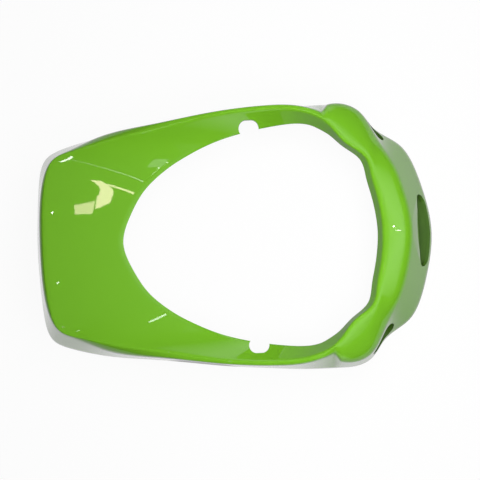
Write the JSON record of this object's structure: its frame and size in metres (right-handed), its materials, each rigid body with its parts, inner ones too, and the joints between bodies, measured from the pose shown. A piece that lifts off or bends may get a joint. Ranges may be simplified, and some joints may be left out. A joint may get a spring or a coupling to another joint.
{
  "type": "motorcycle front fairing",
  "caption": "Thin gloss moulded front fairing for a motorcycle, with an egg-shaped lamp opening, flared ears, a chin window and side ports; screwed on from behind.",
  "frame": {"origin": "Middle of the shell's box, on the plane of its rear rim.", "axes": "+Z out of the face, towards the road ahead; +X from the forehead to the chin, which is down on the motorcycle; +Y across, from one ear to the other. The shell lies on its rear rim, face up."},
  "size_m": [0.3753, 0.2508, 0.0605],
  "materials": {
    "lime_plastic": "gloss lime green, painted and clear coated"
  },
  "bodies": {
    "root": {"fairing": "lime_plastic"}
  },
  "joints": []
}
